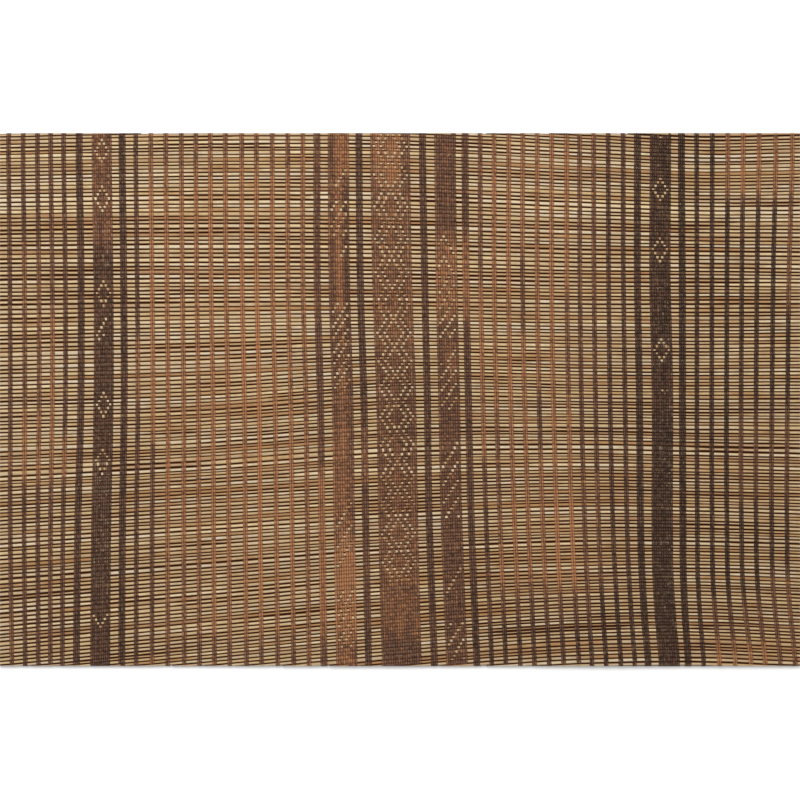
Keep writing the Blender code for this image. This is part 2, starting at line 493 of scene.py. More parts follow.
class LeatherSettings(bpy.types.PropertyGroup):
    """The leather strips."""

    spread: metres("Spread", "How much wider than its column a strip lies on a reed", 0.25 * MM)
    gap_width: metres("Gap width", "Strip where it dives between reeds", 1.35 * MM)
    thickness: metres("Thickness", "Strip at its middle", 0.62 * MM)
    seat: metres("Seat", "Room between strip and reed", 0.08 * MM)
    side_step: metres("Side step", "How far two strips pass apart", 0.5 * MM)
    unevenness: plain_number("Unevenness", "Spread of the strips' widths", 0.05, min=0)
    shift: metres("Shift", "How far a strip lies out of line on a reed", 0.10 * MM)
    black_brown: tint("Black-brown", "Darkest leather", 0.0232, 0.0092, 0.0042)
    brown: tint("Brown", "Middle leather", 0.104, 0.0422, 0.0228)
    rust: tint("Rust", "Reddest leather", 0.367, 0.148, 0.0565)
    worn: tint("Worn", "Leather rubbed bare", 0.30, 0.21, 0.135)
    # Paler crests, partly rubbed wear and partly a painted highlight.
    rub_and_highlight: tint("Rub and highlight", "What the strips' crests pale towards", 0.55, 0.42, 0.33)
    # Painted shade at the strips' edges and where they pass under the reeds.
    dirt: tint("Gap shade", "Painted shade between strips and under reeds", 0.014, 0.007, 0.005)
    seed: IntProperty(name="Seed", description="Seed of the strips' unevenness", default=23)


class StudioSettings(bpy.types.PropertyGroup):
    """The floor, the light and the camera."""

    floor_size: metres("Floor", "Side of the floor", 8.0)
    floor_colour: tint("Floor colour", "Pale floor", 0.93, 0.93, 0.93)
    lens: plain_number("Lens", "Focal length in mm", 85.0)
    centre_shift: metres("Centre shift", "Camera's y", -0.5 * MM)
    trim: metres("Trim", "Of each short edge, left out of view", 0.1 * MM)
    key_size: metres("Key size", "Side of the large soft light", 1.1)
    key_power: plain_number("Key", "Power of the large soft light", 28.0)
    sky: plain_number("Sky", "Brightness of the room", 0.72)


def smooth_rows(places, rows, at):
    """Each row's value at every place in `at`, on a smooth curve through the row's own values."""
    slopes = np.gradient(rows, places, axis=1)
    number = np.clip(np.searchsorted(places, at, side="right") - 1, 0, len(places) - 2)
    step = places[number + 1] - places[number]
    part = np.clip((at - places[number]) / step, 0, 1)
    rest = 1 - part
    return (
        rows[:, number] * (1 + 2 * part) * rest**2
        + slopes[:, number] * step * part * rest**2
        + rows[:, number + 1] * (1 + 2 * rest) * part**2
        - slopes[:, number + 1] * step * part**2 * rest
    )


def table_values(table, columns, row_keys, at):
    """Values of a table whose first column is the key of its rows: straight between the rows, and
    smooth between the columns. row_keys has one key for each first index of `at`."""
    rows = np.array(sorted(table), float)
    order = np.argsort(columns)
    grid = rows[:, 1:][:, order]
    along = smooth_rows(np.array(columns, float)[order], grid, at)
    unit = np.eye(len(rows))
    weights = np.array([np.interp(row_keys, rows[:, 0], one) for one in unit])
    return np.einsum("kr,kr...->r...", weights, along)


def sway(line, heights):
    """Sideways wander in metres of the line at x = line, at these heights."""
    at = np.asarray(heights, float)[None] / MM
    return table_values(SWAY, SWAY_HEIGHTS, [line / MM], at)[0] * MM


def relief(x, y):
    """How far the mat swells off the floor at these places, in metres."""
    rise = np.zeros(np.broadcast(x, y).shape)
    for centre_x, centre_y, half_x, half_y, top in SWELLINGS:
        away = ((x / MM - centre_x) / half_x) ** 2 + ((y / MM - centre_y) / half_y) ** 2
        rise = rise + top * np.exp(-SWELLING_FALL * away)
    return rise * MM


class ReedField:
    """Where every reed's centre is, and how thick it is, at any place along the mat."""

    def __init__(self, settings):
        draw = np.random.default_rng(settings.seed)
        sizes = np.clip(draw.normal(1, settings.unevenness, REEDS), THINNEST, THICKEST)
        sizes[draw.random(REEDS) < SWOLLEN_REEDS] *= SWOLLEN_BY
        for first in range(0, REEDS, REEDS_IN_BUNCH):
            bunch = slice(first, first + REEDS_IN_BUNCH)
            sizes[bunch] /= sizes[bunch].mean()
        usual = FIRST_REED - REED_PITCH * (np.arange(REEDS) + 0.5)
        heights, shares = np.array(sorted(THICKNESS)).T
        sizes *= np.interp(usual / MM, heights, shares)
        self.sizes = sizes
        self.starts = FIRST_REED - REED_PITCH * (np.cumsum(sizes) - sizes / 2)
        bends = draw.uniform(*BEND_LENGTHS, (REEDS, 2))
        ripples = draw.uniform(*RIPPLE_LENGTHS, REEDS)
        self.waves = np.column_stack([bends, ripples]) * MM
        self.phases = draw.uniform(0, 2 * math.pi, (REEDS, 3))
        extra = HEIGHT_BY_THICKNESS * (sizes - 1) + draw.normal(0, HEIGHT_SPREAD, REEDS)
        self.heights = settings.height * (1 + extra)
        self.tones = draw.random(REEDS)
        self.share = settings.share
        self.wobble = settings.wobble

    def centres(self, x):
        """Heights of all reeds' centres; x has a row of places for each reed."""
        lifted = self.starts[:, None] + MM * table_values(
            CLIMB, CLIMB_PLACES, self.starts / MM, x / MM
        )
        swing = np.zeros(x.shape)
        for number, amount in enumerate(WAVE_SHARES):
            turn = 2 * math.pi * x / self.waves[:, number, None] + self.phases[:, number, None]
            swing += amount * np.sin(turn)
        return lifted + self.wobble * swing

    def room(self, centres):
        """How far each reed reaches up and down the mat from its centre, so that no two meet."""
        apart = centres[:-1] - centres[1:]
        own = self.sizes[:, None]
        part_above = own[1:] / (own[1:] + own[:-1])
        above = np.empty(centres.shape)
        below = np.empty(centres.shape)
        above[1:] = apart * part_above
        below[:-1] = apart * (1 - part_above)
        above[0] = below[0]
        below[-1] = above[-1]
        return self.share * above, self.share * below


def add_tubes(name, tubes, attributes, finish, sharp_angle):
    """Joins closed tubes into one mesh object. A tube is an array of rings, ring points and x, y, z,
    its points turning right-handed about its run. attributes holds a list of arrays for each name,
    one array for each tube, with a number or a vector for each point."""
    sides = tubes[0].shape[1]
    around = np.arange(sides)
    quads = []
    caps = []
    first = 0
    for tube in tubes:
        rings = first + np.arange(len(tube))[:, None] * sides
        corner = rings[:-1] + around
        beside = rings[:-1] + (around + 1) % sides
        quads.append(np.stack([corner, beside, beside + sides, corner + sides], -1).reshape(-1, 4))
        caps.append(first + around[::-1])
        caps.append(rings[-1] + around)
        first += len(tube) * sides
    points = np.concatenate([tube.reshape(-1, 3) for tube in tubes])
    faces = np.concatenate(quads).tolist() + np.array(caps).tolist()

    mesh = bpy.data.meshes.new(name)
    mesh.from_pydata(points.tolist(), [], faces)
    for label, parts in attributes.items():
        values = np.concatenate([part.reshape(-1, *part.shape[2:]) for part in parts])
        kind, field = ("FLOAT", "value") if values.ndim == 1 else ("FLOAT_VECTOR", "vector")
        made = mesh.attributes.new(label, kind, "POINT")
        made.data.foreach_set(field, values.astype(np.float32).ravel())
    mesh.materials.append(finish)
    mesh.shade_smooth()
    mesh.set_sharp_from_angle(angle=sharp_angle)
    if mesh.validate(verbose=False):
        raise RuntimeError(f"{name} has faces that aren't valid")
    made = bpy.data.objects.new(name, mesh)
    bpy.context.scene.collection.objects.link(made)
    return made


def stand_for(piece, node):
    """The piece takes the place of its solid in the frame."""
    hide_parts(node)
    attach(piece, "root")


def lower_right_darkening(x, y):
    """How much darker the mat is made towards its lower right, from 0.06 to 0.25."""
    return 0.06 + 0.08 * (x / LENGTH + 0.5) + 0.11 * np.clip(0.5 - y / WIDTH, 0, 1)


def soft_edged(inside, fade):
    """How strong a stretch is this far inside its ends, over which it fades."""
    return np.clip(inside / fade + 0.5, 0, 1)


def random_stretches(draw, places, number_each, half_lengths, strength, fade):
    """Soft-edged stretches on every reed, added up: on average number_each on a reed, half_lengths
    in mm from and to, and each as strong as a call of strength() says."""
    total = np.zeros((REEDS, len(places)))
    for number in range(REEDS):
        for _ in range(draw.poisson(number_each)):
            middle = draw.uniform(-LENGTH / 2, LENGTH / 2)
            half = draw.uniform(*half_lengths) * MM
            total[number] += strength() * soft_edged(half - np.abs(places - middle), fade)
    return total


def with_noted(values, field, places, column):
    """The values of all reeds, with the noted stretches set from this column of their table."""
    for row in NOTED_STRETCHES:
        start, first, last = row[:3]
        number = int(np.argmin(np.abs(field.starts - start * MM)))
        edge = soft_edged(np.minimum(places - first * MM, last * MM - places), STRETCH_FADE)
        values[number] = values[number] * (1 - edge) + row[column] * edge
    return values


def reed_tones(field, draw, places):
    """Tone of every reed at each place: its own, with weathered stretches and the noted ones."""
    thin = np.clip(1.02 - field.sizes, -0.2, 0.3)
    own = TONE_BY_CHANCE * field.tones + TONE_BY_THINNESS * thin
    tones = own[:, None] + lower_right_darkening(places, field.starts[:, None])
    tones = tones + random_stretches(
        draw,
        places,
        number_each=4.2,
        half_lengths=(8, 85),
        strength=lambda: draw.choice(STRETCH_TONES, p=STRETCH_CHANCES),
        fade=STRETCH_FADE,
    )
    tones = np.minimum(tones + draw.normal(0, TONE_SPECKS, tones.shape), DARKEST_BY_CHANCE)
    return np.clip(with_noted(tones, field, places, NOTED_TONE), 0, 1)


def groove_depths(field, draw, places):
    """Stretches of each reed where the painted shade in the grooves beside it is wide and dark, or
    narrow and pale.
    """
    own = draw.normal(0, GROOVE_SPREAD, (REEDS, 1))
    depths = own + random_stretches(
        draw,
        places,
        number_each=3.6,
        half_lengths=(10, 60),
        strength=lambda: draw.uniform(*GROOVE_STRETCHES),
        fade=GROOVE_FADE,
    )
    return with_noted(np.clip(depths, *GROOVE_LIMITS), field, places, NOTED_GROOVE)


def reed_sections(count, open_left, open_right):
    """Which of its stations each section of a reed is at, and how far right of it, in shares of the
    hollow's depth, with its size and its painted shade. An open end has the sections of OPEN_END."""
    rows = [(number, 0.0, 1.0, 0.0) for number in range(count)]
    if open_left:
        rows[:1] = [(0, *section) for section in OPEN_END]
    if open_right:
        last = count - 1
        rows[-1:] = [(last, -depth, size, dark) for depth, size, dark in reversed(OPEN_END)]
    station, shift, size, dark = np.array(rows).T
    return station.astype(int), shift, size, dark


def reed_tubes(field, settings):
    """The tubes of all reeds inside the mat's outline, with the values that their finish reads."""
    draw = np.random.default_rng(settings.seed + 1)
    places = np.linspace(-LENGTH / 2, LENGTH / 2, settings.stations)
    centres = field.centres(np.repeat(places[None], REEDS, axis=0))
    above, below = field.room(centres)
    tones = reed_tones(field, draw, places)
    darkening = lower_right_darkening(places, field.starts[:, None])
    # Painted shade in the grooves beside each reed, deeper towards the lower right and in stretches.
    shade = GROOVE_SHADE_TO_LOWER_RIGHT * darkening + groove_depths(field, draw, places)
    limit = WIDTH / 2 - REED_MARGIN
    inside = np.abs(centres) < limit + (1 - REED_INSIDE) * np.minimum(above, below)
    inside[:, 1:] |= inside[:, :-1]
    inside[:, :-1] |= inside[:, 1:]
    turns = 2 * math.pi * np.arange(settings.sides) / settings.sides
    side = np.cos(turns)
    lift = np.sin(turns)

    def around(values):
        return np.repeat(values[:, None], settings.sides, 1)

    tubes = []
    parts = {"tone": [], "height": [], "hollow": [], "grain_place": []}
    for number in range(REEDS):
        kept = np.flatnonzero(inside[number])
        for run in np.split(kept, np.flatnonzero(np.diff(kept) > 1) + 1):
            if len(run) < 2:
                continue
            station, shift, size, dark = reed_sections(
                len(run), run[0] == 0, run[-1] == len(places) - 1
            )
            at = run[station]
            x = places[at] + shift * settings.hollow
            y = centres[number, at]
            reach = np.where(side > 0, around(above[number, at]), around(below[number, at]))
            across = reach * around(size) * side
            up = around(field.heights[number] / 2 * size) * lift
            uncut = y[:, None] + across
            cut = np.clip(uncut, -limit, limit)
            ring_y = cut + REED_OVERHANG * (uncut - cut)
            ring_z = around(MIDDLE + relief(x, y)) + up
            tubes.append(np.stack([around(x), ring_y, ring_z], -1))
            deep = around(np.interp(x, places, shade[number]))
            parts["tone"].append(around(tones[number, at]))
            # The height that sets the painted shade, pulled down on a reed's sides by its groove
            # shade.
            parts["height"].append(lift - 2 * deep * (1 - lift))
            # Painted shade inside each open end, darkest at the floor of its hollow.
            parts["hollow"].append(around(dark))
            parts["grain_place"].append(np.stack([around(x), across + number * GRAIN_STEP, up], -1))
    return tubes, parts


# Motifs charted with a row for each reed from the top down: o is a dot where the reed shows.
LATTICE = (
    ".....o..o..o.....",
    "....o..o.o..o....",
    "...o..o...o..o...",
    "..o..o.....o..o..",
    ".o..o.......o..o.",
    "..o..o.....o..o..",
    "...o..o...o..o...",
    "....o..o.o..o....",
)
DIAMOND = (
    "....o....",
    "...o.o...",
    "..o...o..",
    ".o.....o.",
    "..o...o..",
    "...o.o...",
    "....o....",
)
SLANT = (
    ".......o.",
    "......o..",
    ".....o...",
    "....o....",
    "...o.....",
    "..o......",
    ".o.......",
)
SLANT_PAIR = (
    "...o...o.",
    "..o...o..",
    ".o...o...",
    "....o..o.",
    "...o..o..",
    "..o..o...",
    ".o..o....",
)
SLANT_FOUR = (
    ".o...o...",
    "....o....",
    "...o...o.",
    "..o...o..",
)
SLANT_FIVE = (
    "....o....",
    "...o.....",
    "..o....o.",
    ".o....o..",
    ".....o...",
)
HOOK = (
    ".....o...",
    "....o....",
    "...o.....",
    "..o......",
    ".o..o....",
    "..o......",
)
TENT = (
    "...o.....",
    "..o.o....",
    ".o...o...",
    "......o..",
    ".......o.",
)

# Heights in mm where the lattice ends, and where its left half does.
LATTICE_END = -212
LATTICE_LEFT_END = -185

# Motifs in each band: the chart, the height in mm of its first row at the band's middle, and how
# many rows it runs, starting again where it has fewer. Between them the band is plain.
BAND_MOTIFS = {
    "left_band": (
        (DIAMOND, 261, 7),
        (DIAMOND, 211, 7),
        (DIAMOND, 118, 7),
        (HOOK, 82, 6),
        (DIAMOND, 6, 7),
        (DIAMOND, -48.5, 7),
        (DIAMOND[3:], -216, 4),
    ),
    "rust_band": (
        (SLANT, 230, 5),
        (SLANT_PAIR, 198, 9),
        (SLANT, 152, 3),
        (SLANT_PAIR, 96, 24),
        (SLANT, -104, 7),
        (SLANT, -125, 7),
        (SLANT, -144, 7),
        (SLANT_PAIR, -191, 16),
    ),
    "lattice_band": ((LATTICE, 268, 122),),
    "zigzag_band": (
        (TENT, 163.5, 5),
        (TENT, 142.7, 5),
        (SLANT_FOUR, 123.7, 17),
        (SLANT, 50, 4),
        (SLANT_FOUR, 36, 14),
        (SLANT, -42, 4),
        (SLANT_FIVE, -57, 18),
        (SLANT, -170, 7),
        (SLANT_FIVE[2:], -223.6, 3),
        (SLANT_FIVE, -235, 8),
    ),
    "right_band": (
        (DIAMOND[6:], 262, 1),
        (DIAMOND, 219, 7),
        (DIAMOND, 160, 7),
        (DIAMOND, 59.5, 7),
        (DIAMOND[6:], 8, 1),
    ),
}


def dots_of(name, columns, middles):
    """True for each reed and column of a band where the reed shows between the leather."""
    dots = np.zeros((REEDS, columns), bool)
    for chart, height, rows in BAND_MOTIFS.get(name, ()):
        first = int(np.argmin(np.abs(middles - height * MM)))
        for row in range(min(rows, REEDS - first)):
            marks = chart[row % len(chart)]
            dots[first + row] |= np.array([mark == "o" for mark in marks])
    if name == "lattice_band":
        left_half = np.arange(columns) <= columns // 2
        dots[middles < LATTICE_END * MM] = False
        dots[np.ix_(middles < LATTICE_LEFT_END * MM, left_half)] = False
    return dots


def inside_patch(x, y, sides):
    """How far these places lie inside a patch's sides in metres, across and down the mat."""
    first_x, last_x, first_y, last_y = (side * MM for side in sides)
    return np.minimum(x - first_x, last_x - x), np.minimum(y - first_y, last_y - y)


def dye_tone(tone, x, y, draw):
    """Tone of the leather along one strip of a line that has this tone."""
    for *sides, there in DYE_PATCHES:
        across, down = inside_patch(x, y, sides)
        share = soft_edged(across, DYE_FADE_ACROSS) * soft_edged(down, DYE_FADE_DOWN)
        tone = tone * (1 - share) + there * share
    tone = tone + draw.normal(0, STRIP_TONE_SPREAD)
    for wave, amount in TONE_WAVES:
        length = wave * MM * draw.uniform(0.8, 1.25)
        phase = draw.uniform(0, 6.3)
        tone = tone + amount * np.sin(2 * math.pi * y / length + phase)
    return np.clip(tone + draw.normal(0, SECTION_TONE_SPREAD, tone.shape), 0, 1)


def worn_share(x, y, draw):
    """How worn each section of a strip is: most hardly, and some in the worn patches bare."""
    worn = HARDLY_WORN * draw.random(x.shape) ** 3
    for *sides, share in WORN_PATCHES:
        inside = np.minimum(*inside_patch(x, y, sides)) > 0
        bare = inside & (draw.random(x.shape) < share)
        worn[bare] = draw.uniform(*BARE, int(bare.sum()))
    return worn


def strip_rings(field, settings, line, offset, pitch, dots, draw):
    """Centre line and section of the two strips of one column.

    Each reed has four places in a strip: before its crest, on it, after it, and the gap after it.
    A strip has all four on its own reeds, which it passes over unless the reed shows there, and
    only two, crest and gap, on its partner's reeds, which it passes under."""
    centres = field.starts[:, None]
    for _ in range(2):
        x = line + offset + sway(line, centres[:, 0])
        centres = field.centres(x[:, None])
    edge = WIDTH / 2 - LEATHER_MARGIN
    rows = np.flatnonzero(np.abs(centres[:, 0]) < edge - REED_ROOM)
    centre = centres[rows, 0]
    half = np.minimum(*field.room(centres))[rows, 0]
    tall = field.heights[rows] / 2
    following = np.minimum(np.arange(len(rows)) + 1, len(rows) - 1)
    gap = (centre - half + centre[following] + half[following]) / 2
    gap[-1] = -edge
    on_reed = np.stack([centre + SHOULDER * half, centre, centre - SHOULDER * half], 1)
    on_reed = np.clip(on_reed, EDGE_ROOM - edge, edge - EDGE_ROOM)
    places = np.concatenate([on_reed, gap[:, None]], 1)
    high = tall[:, None] * (SHOULDER_DROP, 1, SHOULDER_DROP) + settings.seat
    low = -high - settings.thickness
    strips = []
    for own_parity, side in ((0, 1), (1, -1)):
        own = rows % 2 == own_parity
        over = own & ~dots[rows]
        over_next = over[following]
        over_next[-1] = ~over[-1]
        both_under = ~over & ~over_next

        level = np.where(over[:, None], high, low)
        cross = np.where(both_under, UNDER_HEIGHT * tall - settings.thickness, GAP_HEIGHT * tall)
        cross[-1] = EDGE_HEIGHT * settings.thickness
        base = np.concatenate([level, cross[:, None]], 1)

        width = np.full(places.shape, pitch + settings.spread)
        width[:, (0, 2)] *= SHOULDER_WIDTH
        width[~over] = UNDER_WIDTH * settings.gap_width
        width[:, 3] = settings.gap_width
        width *= 1 + draw.normal(0, settings.unevenness, width.shape)

        going = np.full(len(rows), RUNNING_STEP * side)
        going[over & ~over_next] = 1
        going[~over & over_next] = -1
        step = np.zeros(places.shape)
        step[:, 0] = SHOULDER_STEP * np.concatenate([[-1], going[:-1]])
        step[:, 2] = SHOULDER_STEP * going
        step[~over] = UNDER_STEP * side
        step[:, 3] = going
        step = step * settings.side_step
        step[:, 1] += draw.normal(0, settings.shift, len(rows))

        crest = np.zeros(places.shape)
        crest[over, :3] = (SHOULDER_CREST, 1, SHOULDER_CREST)
        crest[:, 3] = np.where(both_under, 0, GAP_CREST)
        base = base + draw.normal(0, SECTION_SWELL, places.shape)

        used = np.ones(places.shape, bool)
        used[:, (0, 2)] = own[:, None]
        y, base, width, step, crest = (
            np.concatenate([[start], values[used]])
            for start, values in (
                (edge, places),
                (EDGE_HEIGHT * settings.thickness, base),
                (settings.gap_width, width),
                (RUNNING_STEP * side * settings.side_step, step),
                (EDGE_CREST, crest),
            )
        )
        x = line + offset + sway(line, y) + step
        strips.append((x, y, base, width, crest))
    return strips


def leather_line(field, settings, name, columns, pitch, base_tone, centre, draw):
    """All strips of one line as tubes, with the values that their finish reads. The three points
    of a ring are the strip's right edge, its top and its left edge."""
    line = centre * MM
    at_line = field.centres(np.full((REEDS, 1), line))
    crossing = line + sway(line, at_line[:, 0])
    middles = field.centres(crossing[:, None])[:, 0]
    dots = dots_of(name, columns, middles)
    tubes = []
    parts = {"tone": [], "height": [], "worn": [], "grain_place": []}
    for column in range(columns):
        offset = (column - (columns - 1) / 2) * pitch * MM
        strips = strip_rings(field, settings, line, offset, pitch * MM, dots[:, column], draw)
        for number, (x, y, base, width, crest) in enumerate(strips):
            straight = np.full(y.shape, line + offset)
            tone = dye_tone(base_tone, straight, y, draw)
            worn = worn_share(straight, y, draw) * crest
            edges = np.zeros(y.shape)
            aside = np.stack([width / 2, edges, -width / 2], 1)
            ground = MIDDLE + relief(x, y) + base
            ring_z = np.stack([ground, ground + settings.thickness, ground], 1)
            ring_y = np.repeat(y[:, None], 3, 1)
            tubes.append(np.stack([x[:, None] + aside, ring_y, ring_z], -1))
            strip = (column * 2 + number) * GRAIN_STEP + line
            parts["tone"].append(np.repeat(tone[:, None], 3, 1))
            # A height of 0 at a strip's edges and under the reeds gives painted shade there, and the
            # crest gets the painted highlight.
            parts["height"].append(np.stack([edges, crest, edges], 1))
            parts["worn"].append(worn[:, None] * (WEAR_AT_EDGES, 1, WEAR_AT_EDGES))
            parts["grain_place"].append(np.stack([ring_y, aside + strip, ring_z], -1))
    return tubes, parts


def new_group(name, inputs, outputs):
    """An empty shader node group with these sockets, inputs with their defaults, all numbers."""
    group = bpy.data.node_groups.new(name, "ShaderNodeTree")
    for label, value in inputs:
        socket = group.interface.new_socket(label, in_out="INPUT", socket_type="NodeSocketFloat")
        socket.default_value = value
    for label in outputs:
        group.interface.new_socket(label, in_out="OUTPUT", socket_type="NodeSocketFloat")
    nodes = group.nodes
    return group, nodes.new("NodeGroupInput").outputs, nodes.new("NodeGroupOutput").inputs


def feed(tree, socket, value):
    """Gives an input its value: another node's output, a number or a colour."""
    if isinstance(value, bpy.types.NodeSocket):
        tree.links.new(value, socket)
    elif socket.type == "RGBA":
        socket.default_value = (*value, 1.0)
    else:
        socket.default_value = value


def math_node(tree, operation, first, second, clamp=False):
    """A math node's output; first and second are sockets or numbers."""
    node = tree.nodes.new("ShaderNodeMath")
    node.operation = operation
    node.use_clamp = clamp
    feed(tree, node.inputs[0], first)
    feed(tree, node.inputs[1], second)
    return node.outputs[0]


def drifted(tree, value, noise, amount, clamp=False):
    """The value moved up and down by a noise from 0 to 1."""
    drift = math_node(tree, "MULTIPLY", math_node(tree, "SUBTRACT", noise, 0.5), amount)
    return math_node(tree, "ADD", value, drift, clamp)


def mix_colour(tree, factor, first, second, blend="MIX"):
    """A mixed colour's output; the factor and the colours are sockets or values."""
    node = tree.nodes.new("ShaderNodeMix")
    node.data_type = "RGBA"
    node.blend_type = blend
    feed(tree, node.inputs[0], factor)
    feed(tree, node.inputs[6], first)
    feed(tree, node.inputs[7], second)
    return node.outputs[2]


def read_attribute(tree, name, output="Fac"):
    """What the mesh says at each point under this name."""
    node = tree.nodes.new("ShaderNodeAttribute")
    node.attribute_name = name
    return node.outputs[output]


def smooth_mask(tree, value, low, high):
    """0 below low, 1 above high, and smooth between them."""
    node = tree.nodes.new("ShaderNodeMapRange")
    node.interpolation_type = "SMOOTHSTEP"
    feed(tree, node.inputs["Value"], value)
    feed(tree, node.inputs["From Min"], low)
    feed(tree, node.inputs["From Max"], high)
    return node.outputs["Result"]


def part_mask(tree, value, low, high, strength):
    """A smooth mask that reaches this strength."""
    return math_node(tree, "MULTIPLY", smooth_mask(tree, value, low, high), strength)


def long_grain_group(name):
    """Fibres along a stem or strip: fine streaks, broad streaks and blotches, each from 0 to 1."""
    group, entry, leave = new_group(
        name, (("Along", 60.0), ("Across", 2500.0)), ("Fine", "Broad", "Blotch")
    )
    scale = group.nodes.new("ShaderNodeCombineXYZ")
    for socket, label in zip(scale.inputs, ("Along", "Across", "Across")):
        group.links.new(entry[label], socket)
    stretched = group.nodes.new("ShaderNodeVectorMath")
    stretched.operation = "MULTIPLY"
    group.links.new(read_attribute(group, "grain_place", "Vector"), stretched.inputs[0])
    group.links.new(scale.outputs[0], stretched.inputs[1])
    for output, size, detail in (("Fine", 1.6, 3.0), ("Broad", 0.45, 2.0), ("Blotch", 0.12, 2.0)):
        noise = group.nodes.new("ShaderNodeTexNoise")
        noise.inputs["Scale"].default_value = size
        noise.inputs["Detail"].default_value = detail
        group.links.new(stretched.outputs[0], noise.inputs["Vector"])
        group.links.new(noise.outputs["Fac"], leave[output])
    return group


def groove_group(name):
    """Painted shade low down between pieces, from the height written on each point."""
    inputs = (("Clean above", 0.7), ("Dirty below", 0.2), ("Ragged", 0.2), ("Grain", 0.5))
    group, entry, leave = new_group(name, inputs, ("Unshaded",))
    height = drifted(group, read_attribute(group, "height"), entry["Grain"], entry["Ragged"])
    clean = smooth_mask(group, height, entry["Dirty below"], entry["Clean above"])
    group.links.new(clean, leave["Unshaded"])
    return group


def place_group(tree, name, maker, **values):
    """A shared group's node in a material, with its own values. maker builds the group once."""
    node = tree.nodes.new("ShaderNodeGroup")
    node.node_tree = bpy.data.node_groups.get(name) or maker(name)
    for label, value in values.items():
        feed(tree, node.inputs[label.replace("_", " ").capitalize()], value)
    return node.outputs


def unshaded_mask(tree, grain, above, below, ragged):
    """1 where a piece is unshaded and 0 down in the painted shade of the grooves, their edge ragged
    by the grain.
    """
    dirt = place_group(
        tree,
        "groove shade",
        groove_group,
        clean_above=above,
        dirty_below=below,
        ragged=ragged,
        grain=grain,
    )
    return dirt["Unshaded"]


def new_material(name):
    """A material, its node tree and its shader."""
    made = bpy.data.materials.new(name)
    made.use_nodes = True
    return made, made.node_tree, made.node_tree.nodes["Principled BSDF"]


def dress_shader(tree, shader, colour, fibres, clean, rough, shine, bumps):
    """Wires the colour into the shader, with fibres that roughen and raise the surface. rough says
    how rough a place in painted shade is at least, what fibres add and what an unshaded place loses,
    and bumps the strength and the distance of the bump."""
    least, by_fibres, by_clean = rough
    roughness = math_node(tree, "ADD", math_node(tree, "MULTIPLY", fibres, by_fibres), least)
    roughness = math_node(
        tree, "SUBTRACT", roughness, math_node(tree, "MULTIPLY", clean, by_clean)
    )
    bump = tree.nodes.new("ShaderNodeBump")
    for label, value in zip(("Strength", "Distance"), bumps):
        bump.inputs[label].default_value = value
    tree.links.new(fibres, bump.inputs["Height"])
    tree.links.new(colour, shader.inputs["Base Color"])
    tree.links.new(roughness, shader.inputs["Roughness"])
    tree.links.new(bump.outputs["Normal"], shader.inputs["Normal"])
    shader.inputs["Specular IOR Level"].default_value = shine


def straw_finish(settings):
    """Dry stems: cream to gold to russet by tone, with fibres, and painted shade on their sides, down
    in the grooves and in the hollows of the open ends.
    """
    finish, tree, shader = new_material("reed straw")
    grain = place_group(tree, "long grain", long_grain_group, along=70.0, across=2600.0)
    short = place_group(tree, "long grain", long_grain_group, along=420.0, across=1400.0)
    tone = drifted(tree, read_attribute(tree, "tone"), grain["Broad"], 0.55, clamp=True)
    colour = mix_colour(tree, smooth_mask(tree, tone, 0.05, 0.5), settings.cream, settings.straw)
    weathered = smooth_mask(tree, tone, 0.45, 0.95)
    streaks = part_mask(tree, grain["Fine"], 0.56, 0.75, 0.35)
    mottles = part_mask(tree, short["Fine"], 0.50, 0.72, 0.42)
    for mask in (weathered, streaks, mottles):
        colour = mix_colour(tree, mask, colour, settings.russet)
    for noise, low, high in (
        (grain["Blotch"], (0.965, 1.005, 1.12), (1.035, 0.99, 0.88)),
        (short["Broad"], (0.925, 0.92, 0.91), (1.05, 1.06, 1.075)),
    ):
        shade = mix_colour(tree, smooth_mask(tree, noise, 0.36, 0.64), low, high)
        colour = mix_colour(tree, 1.0, colour, shade, blend="MULTIPLY")
    clean = unshaded_mask(tree, grain["Broad"], above=0.965, below=0.52, ragged=0.25)
    # Painted shade, warm, on the stems' sides.
    colour = mix_colour(tree, smooth_mask(tree, clean, 0.55, 1.0), settings.flank_shade, colour)
    # Painted shade, dark, down in the grooves between the stems.
    colour = mix_colour(tree, smooth_mask(tree, clean, 0.0, 0.6), settings.groove, colour)
    # Painted shade down in the hollows of the open ends.
    colour = mix_colour(tree, read_attribute(tree, "hollow"), colour, settings.groove)
    rough = (0.68, 0.30, 0.30)
    bumps = (0.35, 0.15 * MM)
    dress_shader(tree, shader, colour, grain["Fine"], clean, rough, shine=0.11, bumps=bumps)
    return finish


def leather_finish(name, settings):
    """Dyed leather strips: black-brown to brown to rust by tone, paler on the crests, partly from
    rubbing and partly as a painted highlight, with painted shade at their edges and under the reeds.
    """
    finish, tree, shader = new_material(name)
    grain = place_group(tree, "long grain", long_grain_group, along=700.0, across=1500.0)
    tone = drifted(tree, read_attribute(tree, "tone"), grain["Broad"], 0.35, clamp=True)
    colour = mix_colour(tree, smooth_mask(tree, tone, 0.0, 0.5), settings.black_brown, settings.brown)
    colour = mix_colour(tree, smooth_mask(tree, tone, 0.4, 1.0), colour, settings.rust)
    # Painted highlight on the crests, partly rubbed wear: they pale towards the rub and highlight
    # colour.
    crest_rub_and_highlight = part_mask(tree, read_attribute(tree, "height"), 0.6, 1.0, 0.32)
    paler = mix_colour(tree, 0.5, colour, settings.rub_and_highlight)
    colour = mix_colour(tree, crest_rub_and_highlight, colour, paler)
    colour = mix_colour(tree, read_attribute(tree, "worn"), colour, settings.worn)
    # Painted shade at the strips' edges and where they dive under the reeds.
    clean = unshaded_mask(tree, grain["Fine"], above=0.55, below=0.0, ragged=0.2)
    dirty = mix_colour(tree, 0.85, colour, settings.dirt)
    colour = mix_colour(tree, clean, dirty, colour)
    rough = (0.65, 0.35, 0.25)
    bumps = (0.30, 0.10 * MM)
    dress_shader(tree, shader, colour, grain["Fine"], clean, rough, shine=0.12, bumps=bumps)
    return finish


